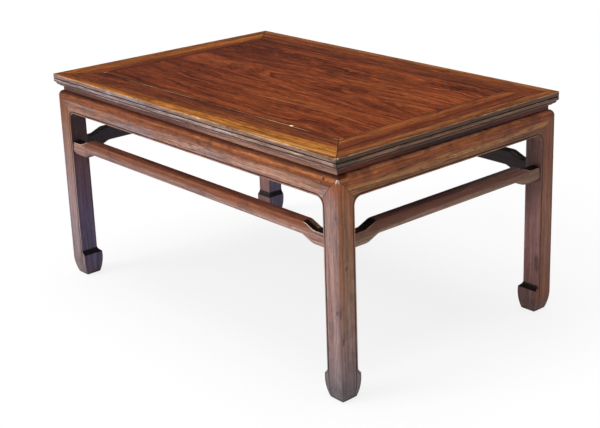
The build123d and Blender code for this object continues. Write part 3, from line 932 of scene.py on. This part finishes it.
# %% Faces of the aprons
# Each patch of painted sheen is its place, its reach and its strength
PALE_PATCH = ((0.29, -LEG_Y, 0.379), (0.16, 0.05, 0.017), 1.0)
GREY_PATCHES = (
    ((-0.16, -LEG_Y, 0.362), (0.12, 0.05, 0.012), 0.8),
    ((0.09, -LEG_Y, 0.366), (0.12, 0.05, 0.012), 0.4),
)


def sheen_patch(spot, place, reach, strength):
    return spot.near(place, reach, 0.8, 0.02) * strength


def apron_front(finish, spot):
    to_top = finish.step(spot.z, 0.358, 0.368)
    # The front's greyish pink is partly painted sheen
    front = finish.mix(to_top, paint(141, 99, 85), paint(160, 112, 91))
    # Paler and greyer patches of painted sheen
    front = finish.mix(sheen_patch(spot, *PALE_PATCH), front, paint(190, 148, 122))
    grey = sum(sheen_patch(spot, *patch) for patch in GREY_PATCHES)
    front = finish.mix(grey, front, paint(126, 108, 110))
    # Small bluish patches of painted sheen
    painted_sheen = finish.step(spot.haze, 0.54, 0.66)
    return finish.mix(painted_sheen * 0.45, front, paint(114, 103, 115))


def apron_end(finish, spot):
    to_top = finish.step(spot.z, 0.358, 0.374)
    end = finish.mix(to_top, paint(132, 86, 54), paint(158, 103, 54))
    shaded = finish.step(spot.y, -0.02, 0.15) * (1.0 - finish.step(spot.z, 0.362, 0.374))
    end = finish.mix(shaded * 0.4, end, paint(92, 54, 38))
    stains = finish.step(spot.haze, 0.52, 0.64)
    return finish.mix(stains * 0.25, end, paint(98, 52, 30))


# %% [markdown]
# ## The rounded shoulder of an apron
#
# Above the face the apron rounds back under the waist. The top shades it, so it has kept
# its warm wax, and just under its crest a streak of light runs along it. A gloss strong
# enough to make that streak would also shine on the faded face, so the streak is a
# lighter tone.


# %% Shoulders of the aprons
def apron_shoulder(finish, spot):
    rise = finish.step(spot.z, 0.374, 0.387)
    crest = finish.step(spot.z, 0.387, 0.3935)
    front = finish.mix(rise, paint(114, 60, 33), paint(142, 74, 35))
    # The crest in front is painted darker: painted shade under the waist
    front = finish.mix(crest * 0.75, front, paint(78, 36, 22))
    glow = spot.line(spot.z - 0.3868, 0.0022) * finish.step(spot.x, -0.15, 0.25)
    front = finish.mix(glow * 0.45, front, paint(206, 132, 70))
    # At the ends the crest is painted paler: painted light
    side = finish.mix(crest * 0.8, paint(150, 80, 38), paint(205, 132, 96))
    on_front = finish.step(-spot.y, LEG_Y - 0.03, LEG_Y - 0.02)
    shoulder = finish.mix(on_front, side, front)
    stains = finish.step(spot.haze, 0.5, 0.64)
    return finish.mix(stains * 0.45, shoulder, paint(96, 42, 26))


# %% [markdown]
# ## A whole apron
#
# Face and shoulder meet in a border that wavers with the clouds of the grain, because a
# straight one would look sprayed. Then come the bead, two small knots near the front
# corner, raw wood darkened with painted shade inside, a dull tone of painted shade below,
# and the mitre lines on top of all.


# %% Dress the aprons
SHOULDER_FOOT, SHOULDER_RISE = 0.371, 0.380
# Each small knot is its place and its size
APRON_KNOTS = (((0.3811, -LEG_Y, 0.3859), 0.004), ((0.3761, -LEG_Y, 0.3789), 0.0026))


def apron_tones(finish, spot, clouds):
    face = finish.mix(spot.to_front, apron_end(finish, spot), apron_front(finish, spot))
    wavering = spot.z + (clouds - 0.5) * 0.012
    border = finish.step(wavering, SHOULDER_FOOT, SHOULDER_RISE)
    tone = finish.mix(border, face, apron_shoulder(finish, spot))
    tone = with_bead(finish, spot, tone)
    for place, size in APRON_KNOTS:
        knot = spot.near(place, (size, 0.012, size), 0.6, 0.002)
        tone = finish.mix(knot * 0.8, tone, paint(40, 20, 14))
    # Inner faces and underside get painted shade
    tone = finish.mix(spot.inward_y, tone, shaded_raw_wood)
    tone = finish.mix(spot.inward_x, tone, shaded_raw_wood)
    tone = finish.mix(spot.down, tone, paint(84, 56, 44))
    return finish.mix(corner_mitre(finish, spot) * 0.55, tone, dirt_and_quirk_shade)


dress("apron", apron_tones, fine=1.4, fleck_depth=0.6)

# %% [markdown]
# ## The outer faces of the legs
#
# A leg is waxed and brown at the top, and further down it turns pink-grey, because mops
# and damp have taken its wax. The near legs have faded more than the far ones, and the
# faces that look to the front carry a painted sheen, with bluish patches of it. Four
# materials could do that, but the legs differ only by where they stand, so one finish
# mixes its ramps by side.


# %% Outer faces of the legs
WAXED, TAN, BUFF = (145, 81, 45), (138, 87, 58), (143, 105, 82)
ROSE, MAUVE, DUST, DAMP_GREY = (148, 113, 105), (142, 118, 120), (129, 104, 101), (114, 103, 107)
SIENNA, CLAY = (122, 66, 41), (130, 82, 61)


def leg_front(finish, spot):
    # The pink of the front faces is partly painted sheen
    left = by_height(finish, spot, (0.10, MAUVE), (0.26, ROSE), (0.34, TAN), (0.38, WAXED))
    right = by_height(
        finish, spot, (0.02, DAMP_GREY), (0.08, DUST), (0.20, ROSE), (0.34, ROSE), (0.38, WAXED)
    )
    front = finish.mix(finish.step(-spot.x, 0.0, 0.1), right, left)
    # Bluish patches of painted sheen
    stains = finish.step(spot.haze, 0.54, 0.66)
    return finish.mix(stains * 0.35, front, paint(112, 98, 108))


def leg_side(finish, spot):
    near = by_height(
        finish, spot, (0.02, DAMP_GREY), (0.07, DUST), (0.20, BUFF), (0.34, TAN), (0.38, WAXED)
    )
    far = by_height(finish, spot, (0.02, SIENNA), (0.10, CLAY), (0.24, CLAY), (0.31, SIENNA))
    side = finish.mix(finish.step(-spot.y, 0.0, 0.1), far, near)
    stains = finish.step(spot.haze, 0.54, 0.66)
    side = finish.mix(stains * 0.35, side, paint(96, 70, 62))
    strip = (1.0 - finish.step(spot.y, -0.268, -0.262)) * spot.to_right
    strip = strip * (1.0 - finish.step(-spot.x, 0.0, 0.1)) * finish.step(spot.z, 0.12, 0.2)
    return finish.mix(strip * 0.35, side, paint(168, 92, 46))


# %% [markdown]
# ## The inner faces of the legs
#
# Nobody waxed the faces that look under the table, and they are painted dark with the
# shade that lies there. Those that look along the table are violet-grey, darkest at the
# top with painted shade, and those that look across it are redder, with a stretch below
# the stretcher painted lighter as painted light. A leg can't be cut in two for that, and
# needn't be: the tones are laid over the outer one by the way the face looks.


# %% Inner faces of the legs
VIOLET_GREY, PLUM, SHADE = (92, 79, 105), (92, 62, 70), (58, 38, 42)
DULL_RED, PAINTED_LIGHT_PINK = (114, 80, 74), (155, 110, 105)


def with_leg_inside(finish, spot, tone):
    # Painted shade on the inner faces, and painted light below the stretcher
    inner_side = by_height(finish, spot, (0.12, VIOLET_GREY), (0.24, PLUM), (0.34, SHADE))
    inner_front = by_height(
        finish, spot, (0.02, DULL_RED), (0.14, PAINTED_LIGHT_PINK), (0.19, PAINTED_LIGHT_PINK), (0.25, DULL_RED)
    )
    tone = finish.mix(spot.inward_y, tone, inner_front)
    return finish.mix(spot.inward_x, tone, inner_side)


# %% [markdown]
# ## Dents, painted highlights and wet feet
#
# Knocks leave dark dents on the outer arrises, and the top of the front leg gets a painted
# highlight. Dark dirt lies on the shelf where the hoof turns inwards, and the sole has drunk
# water for years. Noise could scatter such marks, but then they would fall on sheltered
# places too, so each is set by its place and its reach.


# %% Wear of the legs
# Place and reach of a painted highlight on the front leg
LEG_HIGHLIGHT = ((0.4100, -0.2680, 0.387), (0.0046, 0.0046, 0.0100))
# Each dent is its place and its reach
LEG_DENTS = (
    ((LEG_X, -LEG_Y, 0.162), (0.0035, 0.0035, 0.014)),
    ((0.406, -LEG_Y, 0.163), (0.0040, 0.0040, 0.006)),
    ((LEG_X, -0.2667, 0.113), (0.0050, 0.0030, 0.010)),
    ((LEG_X, -0.2570, 0.238), (0.0050, 0.0040, 0.006)),
    ((0.4080, 0.2355, 0.100), (0.0060, 0.0060, 0.024)),
)


def with_leg_wear(finish, spot, tone, clouds):
    # A painted highlight at the top of the front leg
    tone = finish.mix(spot.near(*LEG_HIGHLIGHT, 0.7, 0.001), tone, paint(255, 244, 234))
    for place, reach in LEG_DENTS:
        dent = spot.near(place, reach, 0.6, 0.002)
        tone = finish.mix(dent * 0.6, tone, paint(48, 38, 42))
    below_shelf = 1.0 - finish.step(spot.z, 0.07, 0.09)
    on_shelf = spot.lifted * finish.step(spot.z, 0.03, 0.04) * below_shelf
    tone = finish.mix(on_shelf * 0.95, tone, paint(22, 14, 13))
    sole = finish.mix(spot.to_front, paint(64, 46, 38), paint(70, 60, 60))
    low = 1.0 - finish.step(spot.z + (clouds - 0.5) * 0.06, 0.01, 0.05)
    return finish.mix(low * 0.4, tone, sole)


# %% Dress the legs
def leg_tones(finish, spot, clouds):
    outside = finish.mix(spot.to_front, leg_side(finish, spot), leg_front(finish, spot))
    tone = with_leg_inside(finish, spot, with_bead(finish, spot, outside))
    tone = with_leg_wear(finish, spot, tone, clouds)
    return finish.mix(corner_mitre(finish, spot) * 0.55, tone, dirt_and_quirk_shade)


dress("leg", leg_tones, depth=0.6, vein_depth=0.3)

# %% [markdown]
# ## The humpback stretchers from above
#
# A stretcher leaves each leg low, bends up and runs level to the other bend. The upper
# faces of the bends and of the far stretchers lie in the dark under the table and are
# painted near black as painted shade, and the level run on the right is painted paler
# towards the back, as painted light. The bends could be marked by their places, but a
# face that isn't level, or is level and low, is always a bend, so one rule finds all
# eight.


# %% Upper faces of the stretchers
LEVEL_RUN = 0.3


def stretcher_top(finish, spot):
    on_right = finish.step(spot.x, 0.36, 0.37)
    # Painted shade on the far stretchers and on the bends
    far = finish.step(-spot.x, 0.36, 0.37) + finish.step(spot.y, 0.243, 0.248)
    bend_shade = 1.0 - spot.level * finish.step(spot.z, LEVEL_RUN - 0.0015, LEVEL_RUN)
    # Painted light on the right run, paler towards the back
    to_back = finish.step(spot.y, -0.05, 0.2)
    right_top = finish.mix(to_back, paint(104, 68, 62), paint(166, 132, 125))
    top = finish.mix(on_right, paint(134, 77, 58), right_top)
    return finish.mix(far + bend_shade, top, paint(30, 19, 16))


# %% [markdown]
# ## The painted highlight on the arris of the bends
#
# At both ends of the front and right stretchers the upper arris of the bend gets a painted
# highlight, almost white. The general arris mask is the same all along a stretcher, so
# here the bevelled normal's own direction is used, and only beyond the place where a bend
# begins.


# %% Painted highlights on the bends
BEND_X = (0.322, 0.334)
BEND_Y = (0.182, 0.192)


def with_bend_highlights(finish, spot, tone):
    """The upper arris of each bend in front and on the right gets a painted highlight."""
    long_side = finish.step(spot.from_middle_y, 0.255, 0.26)
    front_bend_highlight = spot.front_arris * long_side * finish.step(spot.from_middle_x, *BEND_X)
    right_bend_highlight = spot.right_arris * (1.0 - long_side)
    right_bend_highlight = right_bend_highlight * finish.step(spot.from_middle_y, *BEND_Y)
    tone = finish.mix(front_bend_highlight * 0.85, tone, paint(244, 218, 200))
    return finish.mix(right_bend_highlight * 0.4, tone, paint(200, 150, 120))


# %% [markdown]
# ## A whole stretcher
#
# A stretcher is browner above and paler below, like the aprons, with a painted sheen in the
# pale lower front, and its inner faces are painted nearly black as painted shade. The
# border between the two tones wavers with the clouds, and the other parts are laid over it
# from the outside in.


# %% Dress the stretchers
def stretcher_tones(finish, spot, clouds):
    high = finish.step(spot.z + (clouds - 0.5) * 0.01, 0.284, 0.294)
    # The pale lower front is partly painted sheen
    front = finish.mix(high, paint(162, 122, 110), paint(142, 80, 46))
    side = finish.mix(high, paint(112, 80, 62), paint(92, 46, 28))
    tone = finish.mix(spot.to_front, side, front)
    tone = finish.mix(spot.up, tone, stretcher_top(finish, spot))
    stains = finish.step(spot.haze, 0.52, 0.64)
    tone = finish.mix(stains * 0.3, tone, paint(84, 46, 34))
    tone = with_bend_highlights(finish, spot, tone)
    # Painted shade on the inner faces
    tone = finish.mix(spot.inward_y, tone, paint(48, 33, 35))
    return finish.mix(spot.inward_x, tone, paint(42, 32, 38))


dress("stretcher", stretcher_tones)

# %% [markdown]
# ## The waist and the battens
#
# The waist is a plain strip set back between the frame and the aprons. It lies in shadow.
# Black would do for most of it, but a low view looks right into it, so it is real wood with
# two tones for each side; on the ends and the back they are dark with painted shade,
# darkest in the middle of each end. The battens under the panel can't be seen from above
# and were never waxed, so they stay raw, darkened with painted shade.


# %% Dress the waist and the battens
def waist_tones(finish, spot, clouds):
    to_right = finish.step(spot.x, -0.05, 0.1)
    front = finish.mix(to_right, paint(116, 70, 60), paint(180, 130, 110))
    to_ends = finish.step(spot.from_middle_y, 0.05, 0.2)
    # Painted shade on the ends and the back, darkest in the middle of each end
    side = finish.mix(to_ends, paint(52, 16, 6), paint(100, 38, 16))
    return finish.mix(spot.to_front, side, front)


def batten_tones(finish, spot, clouds):
    # Raw wood with painted shade
    return finish.mix(clouds, shaded_raw_wood, paint(78, 56, 48))


dress("waist", waist_tones)
dress("batten", batten_tones)

# %% [markdown]
# ## The floor
#
# A studio floor of white paper lies flat under the object and reaches so far that no
# horizon shows. More light would make it white, but it would bleach the wood too. Instead
# the paper glows by itself for every ray that looks at it, straight or in a reflection,
# and stays plain paper for the light that falls on the table. It keeps a share of the real
# paper, and in that share the table's soft shadow shows.


# %% Floor
SHADOW_DEPTH = 0.16
BACKDROP_RAYS = ("Is Camera Ray", "Is Glossy Ray", "Is Transmission Ray")
WHITE = (1.0, 1.0, 1.0, 1.0)


def backdrop_rays(finish):
    """1 on rays from the camera and from glossy or clear things, which see the backdrop."""
    outputs = finish.node("ShaderNodeLightPath", {}).socket.node.outputs
    camera_ray, glossy_ray, clear_ray = (Wire(finish, outputs[ray]) for ray in BACKDROP_RAYS)
    return (camera_ray + glossy_ray + clear_ray).at_most(1.0)


bpy.ops.mesh.primitive_plane_add(size=60)
floor = bpy.context.object
floor.name = "studio_floor"
floor_finish = Finish("studio_floor")
paper_finish = {"Base_Color": (0.9, 0.9, 0.9, 1.0), "Roughness": 0.9, "Specular_IOR_Level": 0.0}
paper = floor_finish.node("ShaderNodeBsdfPrincipled", {}, **paper_finish)
glow = floor_finish.node("ShaderNodeEmission", {}, WHITE, 1.0)
glow_share = backdrop_rays(floor_finish) * (1.0 - SHADOW_DEPTH)
floor_surface = floor_finish.node("ShaderNodeMixShader", {}, glow_share, paper, glow)
floor_finish.node("ShaderNodeOutputMaterial", {}, floor_surface)
floor.data.materials.append(floor_finish.owner)
print("floor of", round(floor.dimensions.x), "metres")

# %% [markdown]
# ## The walls of the room
#
# Waxed wood shows the room it stands in. An evenly white room would lay a milky veil over
# every upright face, and a black one would make them dull. So the walls are bright only
# low down, where the upright faces see them, and the ceiling is dark, where the top would
# mirror it. A dark flag behind the table, at the back left, keeps the glare off the top.


# %% World
FLAG_DIRECTION = (-0.76, 0.65, 0.0)
CEILING_STRENGTH = 0.06
WALL_STRENGTH = 0.94

room = Finish("studio", bpy.data.worlds.new("studio"))
bpy.context.scene.world = room.owner
looking = room.node("ShaderNodeTexCoord", {}, output="Generated")
elevation = room.parts(looking)[2]
wall = 1.0 - room.step(elevation, 0.12, 0.22)
towards_flag = room.vectors("DOT_PRODUCT", looking, FLAG_DIRECTION, output="Value")
unflagged = 1.0 - room.step(towards_flag, 0.72, 0.9)
strength = CEILING_STRENGTH + wall * unflagged * WALL_STRENGTH
sky = room.node("ShaderNodeBackground", {}, WHITE, strength)
room.node("ShaderNodeOutputWorld", {}, sky)
print("walls", CEILING_STRENGTH + WALL_STRENGTH, "ceiling", CEILING_STRENGTH)

# %% [markdown]
# ## The lamps
#
# Two lamps light the wood: one overhead for the top, and a weaker one from the front left
# that shapes the legs. Small lamps would throw hard shadows of the apron on the
# stretchers, so both are suns with a very wide disc. Together they are set so that a
# colour renders about as it is written.


# %% Lamps
def soft_sun(name, direction, spread, strength):
    """A round lamp so wide and far away that it lights the whole room evenly."""
    lamp = bpy.data.lights.new(name, "SUN")
    lamp.angle = math.radians(spread)
    lamp.energy = strength
    holder = bpy.data.objects.new(name, lamp)
    bpy.context.scene.collection.objects.link(holder)
    holder.rotation_euler = Vector(direction).to_track_quat("Z", "Y").to_euler()
    print(name, "lamp of", spread, "degrees at strength", round(strength, 2))


soft_sun("overhead", (-0.06, -0.05, 1.0), 55, 0.76 * math.pi)
soft_sun("front_left", (-0.30, -0.72, 0.62), 30, 0.48 * math.pi)

# %% [markdown]
# ## The camera
#
# The table is seen from the front right and from above, through a long lens that keeps the
# legs nearly upright. A small shift of the lens frames it without tilting the camera
# further, which would make the legs lean. Colours are shown as they are, without a film
# look, so that the waxed brown on the screen is the brown that was written.


# %% Camera
IMAGE_WIDTH = 600
SENSOR_WIDTH = 36.0
FOCAL_PIXELS = 1247.6
CAMERA_PLACE = (1.7679, -1.5060, 1.0032)
CAMERA_TURN = (72.725, 1.441, 47.223)
CAMERA_SHIFT = (-0.06, -0.10)

camera_data = bpy.data.cameras.new("camera")
camera_data.sensor_width = SENSOR_WIDTH
camera_data.lens = FOCAL_PIXELS * SENSOR_WIDTH / IMAGE_WIDTH
camera_data.shift_x, camera_data.shift_y = CAMERA_SHIFT
camera = bpy.data.objects.new("camera", camera_data)
camera.location = CAMERA_PLACE
camera.rotation_euler = Euler([math.radians(angle) for angle in CAMERA_TURN])
bpy.context.scene.collection.objects.link(camera)
bpy.context.scene.camera = camera
bpy.context.scene.view_settings.view_transform = "Standard"
print("lens of", round(camera_data.lens, 1), "mm")
